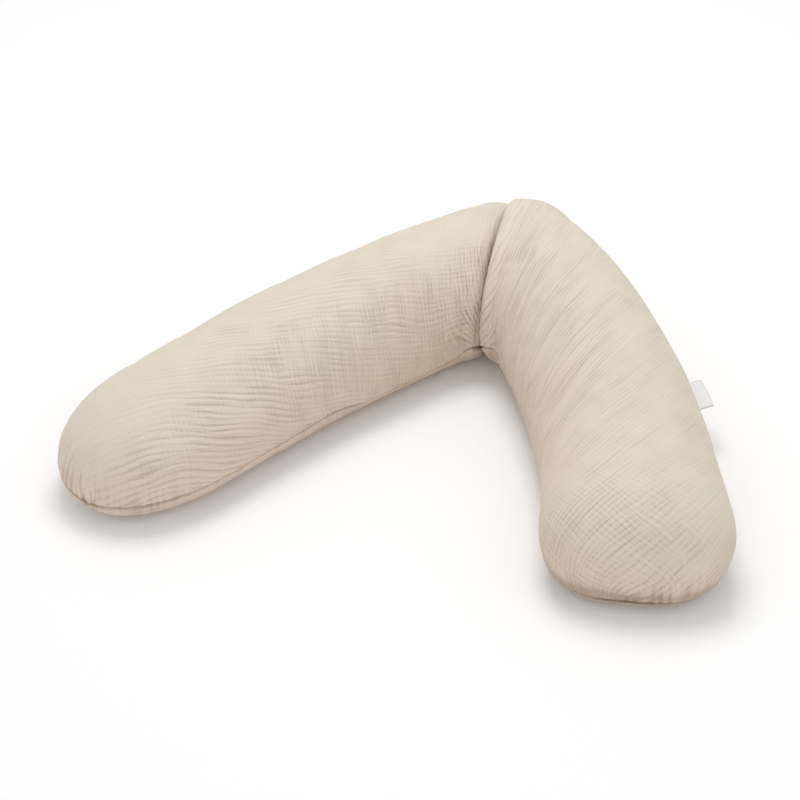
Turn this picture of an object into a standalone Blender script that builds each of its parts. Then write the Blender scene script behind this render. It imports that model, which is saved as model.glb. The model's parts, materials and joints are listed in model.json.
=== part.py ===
"""A long crescent-shaped pregnancy pillow, bent double at its middle and lying on its underside.

The pillow is two panels of cloth sewn together all round and filled. Two arms run from a sharp fold,
with the outer side of the bend at +Y and the space between the arms opening towards -Y. A folded
label of plain tape is caught in the outer seam of the right arm. The origin is on the floor, under
the middle of the whole part. Lengths are in metres and angles in degrees.
"""

import math
from bisect import bisect_right

import bmesh
import bpy
from mathutils import Vector

# The two arms. An arm's angle is how far its middle line points away from -Y, and it turns evenly.
# Its tip is cut a little askew, by tip_lean.
LEFT_ARM = {"side": -1, "length": 0.885, "angle_at_fold": 44.0, "angle_at_end": 20.5, "tip_lean": -5.0}
RIGHT_ARM = {"side": 1, "length": 0.80, "angle_at_fold": 59.0, "angle_at_end": 8.0, "tip_lean": 6.0}

# The section at places along each arm, from the fold to the tip. along: share of the arm's length;
# inner and outer: from the middle line to the widest point on that side; crown: height of the top.
# The first row is the same in both.
LEFT_SECTIONS = [
    {"along": 0.00, "inner": 0.134, "outer": 0.138, "crown": 0.230},
    {"along": 0.10, "inner": 0.134, "outer": 0.134, "crown": 0.222},
    {"along": 0.45, "inner": 0.133, "outer": 0.134, "crown": 0.205},
    {"along": 0.75, "inner": 0.133, "outer": 0.133, "crown": 0.190},
    {"along": 1.00, "inner": 0.134, "outer": 0.136, "crown": 0.178},
]
RIGHT_SECTIONS = [
    {"along": 0.00, "inner": 0.134, "outer": 0.138, "crown": 0.230},
    {"along": 0.10, "inner": 0.122, "outer": 0.140, "crown": 0.238},
    {"along": 0.45, "inner": 0.137, "outer": 0.138, "crown": 0.214},
    {"along": 0.75, "inner": 0.150, "outer": 0.146, "crown": 0.203},
    {"along": 1.00, "inner": 0.160, "outer": 0.166, "crown": 0.196},
]

# The widest point's height as a share of the crown's, and the roundness of the crown.
BELLY_SHARE = 0.42
CROWN_ROUNDNESS = 2.15

# The underside is flat where it rests, over this share of the width.
FLAT_SHARE = 0.55

# The rounded tips. They come together at this angle below the widest point.
LEFT_TIP_LENGTH = 0.18
RIGHT_TIP_LENGTH = 0.130
TIP_ROUNDNESS = 2.5
TIP_ANGLE = 28.0

# The seam, as angles below the widest point, and how far its stitches draw the cover in.
OUTER_SEAM_ANGLE = 6.5
INNER_SEAM_ANGLE = 18.0
SEAM_DEPTH = 0.005
SEAM_HALF_WIDTH = 6.0

# The fold: the direction of its line seen from above, how far along an arm the sections lean towards
# it, and the radius of the outer corner. The lean of a tip fades over its own reach.
FOLD_ANGLE = 97.0
FOLD_REACH = 0.24
CORNER_RADIUS = 0.10
TIP_REACH = 0.26

# The crease along the fold: how far its wall runs out on each arm, its depth as a share of the
# height there, how much faster than evenly it fades towards the outer side, how far its bottom
# is set back from the inner corner, and how far it leans towards the left arm.
LEFT_CREASE = 0.044
RIGHT_CREASE = 0.036
INNER_DEPTH_SHARE = 0.46
OUTER_DEPTH_SHARE = 0.04
CREASE_FADE = 1.5
CREASE_SETBACK = 0.050
CREASE_LEAN = -0.004

# The right arm's lobe bulges over the crease. It closes this share of the room between the walls up
# to an angle on the wall, and opens from there to the crest.
LOBE_CLOSING = 0.80
LOBE_CLOSED_TO = 45.0

# The label: the place of its middle along the arm, its length along the seam, how far it stands out
# and how steeply, the tape's thickness, the space inside the loop, and its start above the stitches.
LABEL_ALONG = 0.495
LABEL_LENGTH = 0.058
LABEL_REACH = 0.036
LABEL_LIFT = 12.0
LABEL_TAPE = 0.0009
LABEL_LOOP = 0.0012
LABEL_ROOT = 0.0018

# How finely the surface is divided.
TOP_ROWS = 17
SIDE_ROWS = 3
FLAT_ROWS = 5
CREASE_RINGS = 6
ARM_RINGS = 26
TIP_RINGS = 10
LABEL_STEPS = 8
LOOP_STEPS = 8


def smooth_step(value):
    """0 below 0, 1 above 1, and an even curve between."""
    value = min(1.0, max(0.0, value))
    return value * value * (3.0 - 2.0 * value)


def read_table(rows, column, along):
    """A column's value at a share of the arm's length, on a smooth curve through the rows."""
    places = [row["along"] for row in rows]
    values = [row[column] for row in rows]
    last = len(rows) - 1
    i = min(last - 1, max(0, bisect_right(places, along) - 1))
    before, after = max(0, i - 1), min(last, i + 2)
    span = places[i + 1] - places[i]
    slope_in = (values[i + 1] - values[before]) / (places[i + 1] - places[before])
    slope_out = (values[after] - values[i]) / (places[after] - places[i])
    t = (along - places[i]) / span
    return (
        values[i] * (1 + 2 * t) * (1 - t) ** 2
        + slope_in * span * t * (1 - t) ** 2
        + values[i + 1] * t * t * (3 - 2 * t)
        + slope_out * span * t * t * (t - 1)
    )


def middle_line(arm, station):
    """A point on an arm's middle line, the direction across the arm to its outer side, and how far
    that direction leans from square to the arm. Near the fold it leans to follow the fold line."""
    start = math.radians(arm["angle_at_fold"])
    turn = math.radians(arm["angle_at_end"] - arm["angle_at_fold"]) / arm["length"]
    angle = start + turn * station
    x = (math.cos(start) - math.cos(angle)) / turn
    y = (math.sin(start) - math.sin(angle)) / turn
    fold = math.radians(FOLD_ANGLE if arm["side"] > 0 else 180.0 - FOLD_ANGLE)
    lean = (fold - start) * (1.0 - smooth_step(station / FOLD_REACH))
    lean += math.radians(arm["tip_lean"]) * smooth_step((station - arm["length"]) / TIP_REACH + 1.0)
    across = Vector((arm["side"] * math.cos(angle + lean), math.sin(angle + lean), 0.0))
    return Vector((arm["side"] * x, y, 0.0)), across, lean


def seam_side(seam_angle):
    """The angles below the widest point of the rows down one side, with three rows at the seam."""
    last = seam_angle + SEAM_HALF_WIDTH
    step = (90.0 - last) / (SIDE_ROWS + 1)
    return [seam_angle - SEAM_HALF_WIDTH, seam_angle, last] + [last + step * (i + 1) for i in range(SIDE_ROWS)]


def girth_rows():
    """The rows round the section, as (part, value): over the top from the inner widest point, down
    the outer side, across the flat underside and up the inner side."""
    rows = [("top", 180.0 * i / TOP_ROWS) for i in range(TOP_ROWS + 1)]
    rows += [("outer", angle) for angle in seam_side(OUTER_SEAM_ANGLE)]
    rows += [("flat", 1.0 - 2.0 * i / FLAT_ROWS) for i in range(FLAT_ROWS + 1)]
    rows += [("inner", angle) for angle in reversed(seam_side(INNER_SEAM_ANGLE))]
    return rows


def section_point(row, inner, outer, crown):
    """Where a row crosses a section: the distance outwards from the middle, and the height."""
    part, value = row
    belly = BELLY_SHARE * crown
    if part == "flat":
        return value * FLAT_SHARE * (outer if value > 0.0 else inner), 0.0
    angle = math.radians(value)
    if part == "top":
        power = 2.0 / CROWN_ROUNDNESS
        width = inner if value < 90.0 else -outer
        return -width * abs(math.cos(angle)) ** power, belly + (crown - belly) * math.sin(angle) ** power
    across = (outer if part == "outer" else inner) * (FLAT_SHARE + (1.0 - FLAT_SHARE) * math.cos(angle))
    height = belly * (1.0 - math.sin(angle))
    if value == (OUTER_SEAM_ANGLE if part == "outer" else INNER_SEAM_ANGLE):
        across -= SEAM_DEPTH * math.cos(angle)
        height += SEAM_DEPTH * math.sin(angle)
    return (across if part == "outer" else -across), height


def tip_height(crown):
    """The height at which a tip comes together."""
    return BELLY_SHARE * crown * (1.0 - math.sin(math.radians(TIP_ANGLE)))


def tip_scale(arm, tip_length, station):
    """How much of its full size the section keeps: all of it until the rounded tip."""
    share = min(1.0, max(0.0, (station - arm["length"] + tip_length) / tip_length))
    return (1.0 - share**TIP_ROUNDNESS) ** (1.0 / TIP_ROUNDNESS)


def corner_cut(arm, station, outer, lean):
    """How far inwards the outer edge moves near the fold, so that the corner there is an arc."""
    fold_lean = middle_line(arm, 0.0)[2]
    from_corner = station + outer * (math.tan(fold_lean) - math.tan(lean))
    reach = CORNER_RADIUS * math.tan(fold_lean) - from_corner
    return CORNER_RADIUS - math.sqrt(CORNER_RADIUS**2 - reach**2) if reach > 0.0 else 0.0


def surface_point(arm, sections, tip_length, station, climb, row):
    """A point of the cover at a distance from the fold along an arm. climb is how far up the wall of
    the crease the ring is, from 0 degrees at the bottom to 90 at the crest and all along the arm."""
    place, outwards, lean = middle_line(arm, station)
    along = station / arm["length"]
    inner = read_table(sections, "inner", along)
    outer = read_table(sections, "outer", along)
    crown = read_table(sections, "crown", along)
    across, height = section_point(row, inner, outer, crown)

    scale = tip_scale(arm, tip_length, station)
    across *= scale / math.cos(lean)
    height = tip_height(crown) + (height - tip_height(crown)) * scale

    inner, outer = inner / math.cos(lean), outer / math.cos(lean)
    inner_share = min(1.0, max(0.0, (outer - across) / (inner + outer)))
    if across > 0.0:
        corner = corner_cut(arm, station, outer * math.cos(lean), lean)
        across -= corner / math.cos(lean) * (across / outer) ** 2

    depth = 1.0 - math.sin(math.radians(climb))
    fade = inner_share**CREASE_FADE
    height *= 1.0 - depth * (OUTER_DEPTH_SHARE + (INNER_DEPTH_SHARE - OUTER_DEPTH_SHARE) * fade)
    across += depth * CREASE_SETBACK * fade
    slip = CREASE_LEAN * math.sin(math.radians(2.0 * climb))
    if arm is RIGHT_ARM:
        room = (LEFT_CREASE + RIGHT_CREASE) * math.cos(lean) * (1.0 - math.cos(math.radians(climb)))
        slip += LOBE_CLOSING * room * (1.0 - smooth_step((climb - LOBE_CLOSED_TO) / (90.0 - LOBE_CLOSED_TO)))
    slip *= smooth_step(height / (BELLY_SHARE * crown)) * smooth_step(3.0 * inner_share)
    square = math.radians(FOLD_ANGLE)
    leftwards = Vector((-math.sin(square), math.cos(square), 0.0))
    return place + outwards * across + leftwards * slip + Vector((0.0, 0.0, height))


def arm_rings(arm, tip_length):
    """The rings of one arm from just past the crease to just short of the tip, as (station, climb)."""
    rings = []
    crease = RIGHT_CREASE if arm is RIGHT_ARM else LEFT_CREASE
    for i in range(1, CREASE_RINGS + 1):
        climb = 90.0 * i / CREASE_RINGS
        rings.append((crease * (1.0 - math.cos(math.radians(climb))), climb))
    tip_start = arm["length"] - tip_length
    for i in range(1, ARM_RINGS + 1):
        rings.append((crease + (tip_start - crease) * i / ARM_RINGS, 90.0))
    for i in range(1, TIP_RINGS + 1):
        share = math.sin(math.radians(90.0 * i / (TIP_RINGS + 0.5)))
        rings.append((tip_start + tip_length * share, 90.0))
    return rings


def make_material(name, color, roughness):
    material = bpy.data.materials.new(name)
    material.use_nodes = True
    shader = material.node_tree.nodes["Principled BSDF"]
    shader.inputs["Base Color"].default_value = (*color, 1.0)
    shader.inputs["Roughness"].default_value = roughness
    shader.inputs["Metallic"].default_value = 0.0
    return material


def finish_part(mesh, name, collection, material):
    data = bpy.data.meshes.new(name)
    mesh.to_mesh(data)
    mesh.free()
    data.materials.append(material)
    part = bpy.data.objects.new(name, data)
    collection.objects.link(part)
    return part


def make_cover(collection):
    """The filled cover: a ball with its poles at the two tips, its points moved onto the surface."""
    rows = girth_rows()
    left = (LEFT_ARM, LEFT_SECTIONS, LEFT_TIP_LENGTH)
    right = (RIGHT_ARM, RIGHT_SECTIONS, RIGHT_TIP_LENGTH)
    rings = [(left, *ring) for ring in reversed(arm_rings(LEFT_ARM, LEFT_TIP_LENGTH))]
    rings += [(right, 0.0, 0.0)]
    rings += [(right, *ring) for ring in arm_rings(RIGHT_ARM, RIGHT_TIP_LENGTH)]
    steps = len(rings) + 1
    mesh = bmesh.new()
    bmesh.ops.create_uvsphere(mesh, u_segments=len(rows), v_segments=steps, radius=1.0)
    for vertex in mesh.verts:
        x, y, z = vertex.co
        ring = round(math.acos(max(-1.0, min(1.0, z))) / math.pi * steps)
        row = round(math.atan2(-x, y) / math.tau * len(rows)) % len(rows)
        if ring in (0, steps):
            arm, sections, _ = left if ring == 0 else right
            height = tip_height(read_table(sections, "crown", 1.0))
            vertex.co = middle_line(arm, arm["length"])[0] + Vector((0.0, 0.0, height))
        else:
            (arm, sections, tip_length), station, climb = rings[ring - 1]
            vertex.co = surface_point(arm, sections, tip_length, station, climb, rows[row])
    material = make_material("sand_muslin", (0.71, 0.62, 0.51), 0.9)
    return finish_part(mesh, "filled_cover", collection, material)


def label_outline():
    """The folded tape in section, as (distance out from the seam, height above it): out along the
    top leaf, round the loop and back along the lower one, then the same inside."""
    outer = LABEL_LOOP / 2.0 + LABEL_TAPE
    inner = LABEL_LOOP / 2.0
    turn = LABEL_REACH - outer
    bends = [math.radians(90.0 - 180.0 * i / LOOP_STEPS) for i in range(LOOP_STEPS + 1)]
    outside = [(turn + outer * math.cos(a), outer * math.sin(a)) for a in bends]
    inside = [(turn + inner * math.cos(a), inner * math.sin(a)) for a in reversed(bends)]
    root = LABEL_ROOT
    return [(root, outer)] + outside + [(root, -outer), (root, -inner)] + inside + [(root, inner)]


def make_label(collection):
    """The label: its outline is drawn as one face, drawn out in steps along the seam of the right arm."""
    outline = label_outline()
    seam = ("outer", OUTER_SEAM_ANGLE)
    middle = LABEL_ALONG * RIGHT_ARM["length"]
    mesh = bmesh.new()
    first = [mesh.verts.new((0.0, out, up)) for out, up in outline]
    edges = [mesh.edges.new((first[i], first[(i + 1) % len(first)])) for i in range(len(first))]
    rings = [first]
    for _ in range(LABEL_STEPS):
        drawn = bmesh.ops.extrude_edge_only(mesh, edges=edges)["geom"]
        verts = [item for item in drawn if isinstance(item, bmesh.types.BMVert)]
        edges = [item for item in drawn if isinstance(item, bmesh.types.BMEdge)]
        rings.append(verts)
    for step, ring in enumerate(rings):
        station = middle + LABEL_LENGTH * (step / LABEL_STEPS - 0.5)
        root = surface_point(RIGHT_ARM, RIGHT_SECTIONS, RIGHT_TIP_LENGTH, station, 90.0, seam)
        outwards = middle_line(RIGHT_ARM, station)[1]
        lift = math.radians(LABEL_LIFT)
        outwards = outwards * math.cos(lift) + Vector((0.0, 0.0, math.sin(lift)))
        upwards = outwards.cross(Vector((0.0, 0.0, 1.0))).cross(outwards).normalized()
        for vertex in ring:
            _, out, up = vertex.co
            vertex.co = root + outwards * out + upwards * up
    leaf = len(outline) // 2
    for ring in (rings[0], rings[-1]):
        for i in range(leaf - 1):
            mesh.faces.new((ring[i], ring[i + 1], ring[-2 - i], ring[-1 - i]))
    bmesh.ops.recalc_face_normals(mesh, faces=mesh.faces)
    material = make_material("label_tape", (0.80, 0.80, 0.79), 0.6)
    return finish_part(mesh, "seam_label", collection, material)


def settle(parts):
    """Moves the parts so that the origin is on the floor under the middle of their whole box."""
    points = [vertex.co for part in parts for vertex in part.data.vertices]
    low = [min(point[axis] for point in points) for axis in range(3)]
    high = [max(point[axis] for point in points) for axis in range(3)]
    shift = Vector(((low[0] + high[0]) / 2.0, (low[1] + high[1]) / 2.0, low[2]))
    for part in parts:
        for vertex in part.data.vertices:
            vertex.co -= shift
        part.data.shade_smooth()


def main():
    for obj in list(bpy.data.objects):
        bpy.data.objects.remove(obj)
    collection = bpy.data.collections.new("pregnancy_pillow")
    bpy.context.scene.collection.children.link(collection)
    settle([make_cover(collection), make_label(collection)])


main()
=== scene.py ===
# %% [markdown]
# # A crescent pregnancy pillow, folded in the middle
#
# This lesson dresses a long pillow that lies bent double on the floor. Its cover is a double-layer
# cotton gauze, which is puckered all over, and a short folded label stands out of one seam. The
# plain solids of the pillow come from the frame. Here they get their cloth, their light and a camera.

# %% Load the frame
import json
import math
from bisect import bisect_right

import bmesh
import bpy
import numpy as np
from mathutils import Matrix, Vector, noise

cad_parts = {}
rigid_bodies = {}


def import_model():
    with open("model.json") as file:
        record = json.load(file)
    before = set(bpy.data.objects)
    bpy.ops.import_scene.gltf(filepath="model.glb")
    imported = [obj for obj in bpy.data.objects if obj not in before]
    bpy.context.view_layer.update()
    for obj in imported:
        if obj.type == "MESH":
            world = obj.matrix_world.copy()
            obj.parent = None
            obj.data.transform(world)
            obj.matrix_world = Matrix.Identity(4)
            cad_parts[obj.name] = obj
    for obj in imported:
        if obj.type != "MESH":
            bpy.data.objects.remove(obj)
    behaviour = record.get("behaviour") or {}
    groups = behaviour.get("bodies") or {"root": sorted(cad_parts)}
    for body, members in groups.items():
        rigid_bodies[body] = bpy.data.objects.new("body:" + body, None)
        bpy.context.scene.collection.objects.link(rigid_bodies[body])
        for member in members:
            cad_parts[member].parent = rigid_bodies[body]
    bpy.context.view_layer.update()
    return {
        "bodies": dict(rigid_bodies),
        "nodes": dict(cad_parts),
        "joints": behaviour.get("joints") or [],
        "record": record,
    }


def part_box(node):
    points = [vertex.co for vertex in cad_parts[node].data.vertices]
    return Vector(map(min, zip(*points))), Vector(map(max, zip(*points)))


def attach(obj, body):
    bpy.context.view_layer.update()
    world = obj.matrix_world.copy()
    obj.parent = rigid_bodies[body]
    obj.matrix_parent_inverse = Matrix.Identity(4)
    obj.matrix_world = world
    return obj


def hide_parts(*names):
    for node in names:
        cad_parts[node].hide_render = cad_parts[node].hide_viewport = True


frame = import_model()
COVER_NODE = "filled_cover"
LABEL_NODE = "seam_label"

# %% [markdown]
# ## The shape of the pillow
#
# A real pillow of this kind is two crescent panels sewn together round the edge. Bent double, it
# makes two arms, and every cross-section of an arm is much the same: a high round crown, a flat
# underside and a seam low on each side. So the shape can be told with two short tables, one for each
# arm, and a rule for the middle line. A row gives the widths and the height at one place, and a smooth
# curve through the rows gives every place in between. Sculpting would give a softer form sooner, but a
# table keeps both arms in true proportion, and one number changes a whole arm.

# %% Sizes of the arms, in metres and degrees
LEFT = {
    "side": -1, "length": 0.881, "angle_at_fold": 44.0, "angle_at_end": 20.5, "tip_lean": -5.0,
    "tip": 0.180, "tip_angle": 28.0, "tip_roundness": 2.35, "crease": 0.044,
    "sections": [
        {"along": 0.00, "inner": 0.134, "outer": 0.138, "crown": 0.222},
        {"along": 0.10, "inner": 0.118, "outer": 0.138, "crown": 0.225},
        {"along": 0.45, "inner": 0.134, "outer": 0.135, "crown": 0.210},
        {"along": 0.75, "inner": 0.139, "outer": 0.133, "crown": 0.190},
        {"along": 1.00, "inner": 0.119, "outer": 0.134, "crown": 0.176},
    ],
}
RIGHT = {
    "side": 1, "length": 0.785, "angle_at_fold": 57.0, "angle_at_end": 10.0, "tip_lean": 4.0,
    "tip": 0.130, "tip_angle": 40.0, "tip_roundness": 2.6, "crease": 0.036,
    "sections": [
        {"along": 0.00, "inner": 0.131, "outer": 0.140, "crown": 0.230},
        {"along": 0.10, "inner": 0.112, "outer": 0.160, "crown": 0.238},
        {"along": 0.45, "inner": 0.133, "outer": 0.150, "crown": 0.216},
        {"along": 0.75, "inner": 0.144, "outer": 0.151, "crown": 0.203},
        {"along": 1.00, "inner": 0.154, "outer": 0.180, "crown": 0.194},
    ],
}
BELLY_SHARE = 0.42
CROWN_ROUNDNESS = 2.15
FLAT_SHARE = 0.55
OUTER_SEAM = 6.5
INNER_SEAM = 18.0


def smooth_step(value):
    """0 below 0, 1 above 1, and an even curve between."""
    value = min(1.0, max(0.0, value))
    return value * value * (3.0 - 2.0 * value)


def read_table(rows, column, along):
    """A column's value at a share of the arm's length, on a smooth curve through the rows."""
    places = [row["along"] for row in rows]
    values = [row[column] for row in rows]
    last = len(rows) - 1
    i = min(last - 1, max(0, bisect_right(places, along) - 1))
    before, after = max(0, i - 1), min(last, i + 2)
    span = places[i + 1] - places[i]
    slope_in = (values[i + 1] - values[before]) / (places[i + 1] - places[before])
    slope_out = (values[after] - values[i]) / (places[after] - places[i])
    t = (along - places[i]) / span
    return (
        values[i] * (1 + 2 * t) * (1 - t) ** 2
        + slope_in * span * t * (1 - t) ** 2
        + values[i + 1] * t * t * (3 - 2 * t)
        + slope_out * span * t * t * (t - 1)
    )


crowns = [round(read_table(RIGHT["sections"], "crown", along), 3) for along in (0.1, 1.0)]
print("crown of the right arm at the fold and the tip:", crowns)

# %% [markdown]
# ## The fold
#
# The middle line of each arm is an arc. At the fold the two arcs meet in a sharp bend, and the
# sections there lean until they share one line, as the pages of a book share its spine. Along that
# line the cover is pressed into a crease. It is deep at the inner corner, where the cloth has nowhere
# to go, and fades towards the outer side, where the cloth runs round the bend in an even curve. The
# right arm's lobe bulges over the crease, so from above only a dark line shows.

# %% The fold's own sizes
FOLD_ANGLE = 97.0
FOLD_REACH = 0.24
CORNER_RADIUS = 0.10
TIP_REACH = 0.26
INNER_DEPTH_SHARE = 0.46
OUTER_DEPTH_SHARE = 0.04
CREASE_FADE = 1.5
CREASE_SETBACK = 0.050
CREASE_LEAN = -0.004
LOBE_CLOSING = 0.80
LOBE_CLOSED_TO = 45.0
CLOSING_STEEPNESS = 3.0


def middle_line(arm, station):
    """A point on the middle line, the direction across to the outer side, and its lean from square."""
    start = math.radians(arm["angle_at_fold"])
    turn = math.radians(arm["angle_at_end"] - arm["angle_at_fold"]) / arm["length"]
    angle = start + turn * station
    x = (math.cos(start) - math.cos(angle)) / turn
    y = (math.sin(start) - math.sin(angle)) / turn
    fold = math.radians(FOLD_ANGLE if arm["side"] > 0 else 180.0 - FOLD_ANGLE)
    lean = (fold - start) * (1.0 - smooth_step(station / FOLD_REACH))
    lean += math.radians(arm["tip_lean"]) * smooth_step((station - arm["length"]) / TIP_REACH + 1.0)
    across = Vector((arm["side"] * math.cos(angle + lean), math.sin(angle + lean), 0.0))
    return Vector((arm["side"] * x, y, 0.0)), across, lean


def corner_cut(arm, station, outer, lean):
    """How far inwards the outer edge moves near the fold, so that the corner there is an arc."""
    fold_lean = middle_line(arm, 0.0)[2]
    from_corner = station + outer * (math.tan(fold_lean) - math.tan(lean))
    reach = CORNER_RADIUS * math.tan(fold_lean) - from_corner
    return CORNER_RADIUS - math.sqrt(CORNER_RADIUS**2 - reach**2) if reach > 0.0 else 0.0


print("lean at the fold, left and right:",
      [round(math.degrees(middle_line(arm, 0.0)[2]), 1) for arm in (LEFT, RIGHT)])

# %% [markdown]
# ## Rows round the girth
#
# The surface will be a grid: rings across the arms and rows along them. The rows are told by an angle,
# so that they crowd together at the two seams, where a stitched groove needs them, and spread out on
# the underside, which nobody sees. The first row lies in the inner seam. From there the rows climb
# over the crown to the outer seam, which is the upper panel, and go back underneath, which is the
# lower one.

# %% Rows of the upper and the lower panel
CROWN_ROWS = 56
SEAM_STEPS = [1.2, 2.8, 6.0]
LOW_INNER_ROW = 5.0
FLANK_ROWS = 3
FLAT_ROWS = 6


def flank(last, first):
    """Angles from the belly down the flank to the underside, past the rows at a seam."""
    return [first + (last - first) * (i + 1) / (FLANK_ROWS + 1) for i in range(FLANK_ROWS)]


def girth_rows():
    """The rows round the section, as (part, value), and how many of them are on the upper panel."""
    upper = [("inner", INNER_SEAM)] + [("inner", INNER_SEAM - step) for step in SEAM_STEPS]
    upper += [("inner", LOW_INNER_ROW)]
    upper += [("top", 180.0 * i / CROWN_ROWS) for i in range(CROWN_ROWS + 1)]
    upper += [("outer", OUTER_SEAM - step) for step in reversed(SEAM_STEPS[:2])]
    lower = [("outer", OUTER_SEAM)] + [("outer", OUTER_SEAM + step) for step in SEAM_STEPS]
    lower += [("outer", angle) for angle in flank(90.0, OUTER_SEAM + SEAM_STEPS[-1])]
    lower += [("flat", 1.0 - 2.0 * i / FLAT_ROWS) for i in range(FLAT_ROWS + 1)]
    lower += [("inner", angle) for angle in reversed(flank(90.0, INNER_SEAM + SEAM_STEPS[-1]))]
    lower += [("inner", INNER_SEAM + step) for step in reversed(SEAM_STEPS)]
    return upper + lower, len(upper)


ROWS, UPPER_ROWS = girth_rows()
print("rows:", len(ROWS), "on the upper panel:", UPPER_ROWS)

# %% [markdown]
# ## A point of the cover
#
# The next function is the whole pillow in one place. Give it an arm, a place along the arm and a row,
# and it says where the cloth is. The seams aren't quite level. Along the upper part of the left arm the
# inner seam has rolled under, and so have both seams at the wide end of the right arm. The rows there
# slide down with them.

# %% From a place on the cover to a point in space
ROLL_UNDER = 17.0
ROLL_START = 0.02
ROLL_END = 0.44
ROLL_FADE = 0.10
END_SEAM = 41.0
END_ROLL_START = 0.48
END_ROLL_REACH = 0.20


def rolled(value, station, arm, part):
    """The angle of a row on a flank, after the seam has rolled under."""
    seam = INNER_SEAM if part == "inner" else OUTER_SEAM
    if arm is RIGHT:
        roll = (END_SEAM - seam) * smooth_step((station - END_ROLL_START) / END_ROLL_REACH)
    elif part == "inner":
        roll = ROLL_UNDER * smooth_step((station - ROLL_START) / ROLL_FADE)
        roll *= smooth_step((ROLL_END - station) / ROLL_FADE)
    else:
        return value
    share = value / seam if value < seam else (90.0 - value) / (90.0 - seam)
    return value + roll * share


def section_point(row, arm, station, inner, outer, crown):
    """Where a row crosses a section: the distance outwards from the middle, and the height."""
    part, value = row
    belly = BELLY_SHARE * crown
    if part == "flat":
        return value * FLAT_SHARE * (outer if value > 0.0 else inner), 0.0
    if part in ("inner", "outer"):
        value = rolled(value, station, arm, part)
    angle = math.radians(value)
    if part == "top":
        power = 2.0 / CROWN_ROUNDNESS
        width = inner if value < 90.0 else -outer
        return -width * abs(math.cos(angle)) ** power, belly + (crown - belly) * math.sin(angle) ** power
    across = (outer if part == "outer" else inner) * (FLAT_SHARE + (1.0 - FLAT_SHARE) * math.cos(angle))
    height = belly * (1.0 - math.sin(angle))
    return (across if part == "outer" else -across), height


def tip_height(arm, crown):
    """The height at which a tip comes together."""
    return BELLY_SHARE * crown * (1.0 - math.sin(math.radians(arm["tip_angle"])))


def surface_point(arm, station, climb, row):
    """A point of the cover. climb is how far up the wall of the crease it is, from 0 to 90 degrees."""
    place, outwards, lean = middle_line(arm, station)
    along = station / arm["length"]
    inner, outer, crown = [read_table(arm["sections"], name, along) for name in ("inner", "outer", "crown")]
    across, height = section_point(row, arm, station, inner, outer, crown)

    share = min(1.0, max(0.0, (station - arm["length"] + arm["tip"]) / arm["tip"]))
    scale = (1.0 - share ** arm["tip_roundness"]) ** (1.0 / arm["tip_roundness"])
    across *= scale / math.cos(lean)
    height = tip_height(arm, crown) + (height - tip_height(arm, crown)) * scale

    inner, outer = inner / math.cos(lean), outer / math.cos(lean)
    inner_share = min(1.0, max(0.0, (outer - across) / (inner + outer)))
    if across > 0.0:
        corner = corner_cut(arm, station, outer * math.cos(lean), lean)
        across -= corner / math.cos(lean) * (across / outer) ** 2

    depth = 1.0 - math.sin(math.radians(climb))
    fade = inner_share**CREASE_FADE
    height *= 1.0 - depth * (OUTER_DEPTH_SHARE + (INNER_DEPTH_SHARE - OUTER_DEPTH_SHARE) * fade)
    across += depth * CREASE_SETBACK * fade
    slip = CREASE_LEAN * math.sin(math.radians(2.0 * climb))
    if arm is RIGHT:
        room = (LEFT["crease"] + RIGHT["crease"]) * math.cos(lean) * (1.0 - math.cos(math.radians(climb)))
        opening = smooth_step((climb - LOBE_CLOSED_TO) / (90.0 - LOBE_CLOSED_TO))
        slip += LOBE_CLOSING * room * (1.0 - opening)
    slip *= smooth_step(height / (BELLY_SHARE * crown)) * smooth_step(CLOSING_STEEPNESS * inner_share)
    square = math.radians(FOLD_ANGLE)
    leftwards = Vector((-math.sin(square), math.cos(square), 0.0))
    return place + outwards * across + leftwards * slip + Vector((0.0, 0.0, height))


print("top of the fold:", [round(c, 3) for c in surface_point(RIGHT, 0.0, 90.0, ("top", 90.0))])

# %% [markdown]
# ## Rings along the arms
#
# The rings are close together on the walls of the crease and at the tips, where the surface turns
# quickly, and evenly spaced along the arms.

# %% Rings from one tip to the other
CREASE_RINGS = 9
RING_SPACING = 0.0068
TIP_RINGS = 28


def arm_rings(arm):
    """The rings of one arm from just past the crease to just short of the tip, as (station, climb)."""
    rings = []
    for i in range(1, CREASE_RINGS + 1):
        climb = 90.0 * i / CREASE_RINGS
        rings.append((arm["crease"] * (1.0 - math.cos(math.radians(climb))), climb))
    tip_start = arm["length"] - arm["tip"]
    steps = round((tip_start - arm["crease"]) / RING_SPACING)
    for i in range(1, steps + 1):
        rings.append((arm["crease"] + (tip_start - arm["crease"]) * i / steps, 90.0))
    for i in range(1, TIP_RINGS + 1):
        share = math.sin(math.radians(90.0 * i / (TIP_RINGS + 0.5)))
        rings.append((tip_start + arm["tip"] * share, 90.0))
    return rings


def all_rings():
    """Every ring from the left tip to the right one, as (arm, station, climb)."""
    rings = [(LEFT, *ring) for ring in reversed(arm_rings(LEFT))]
    rings.append((RIGHT, 0.0, 0.0))
    return rings + [(RIGHT, *ring) for ring in arm_rings(RIGHT)]


RINGS = all_rings()
print("rings:", len(RINGS))

# %% [markdown]
# ## A place on the flat cloth
#
# Gauze puckers along its threads, and the threads run straight in a flat panel, whatever the pillow
# does. So the cover needs a map that says where each point lay on the flat cloth. Along an arm that
# is simple: go along the middle line, then straight across by the length of cloth from the crown.
# Each arm's part of the map is then turned so that its threads lie along the first axis. The arms
# are turned by different angles, because the fold bends the cloth between them. The filling also
# pulls the threads off line. Each arm says by how much, for each of its two families of threads: they
# turn with the distance along the arm, lean with the distance across, fan out, and bow.

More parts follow.
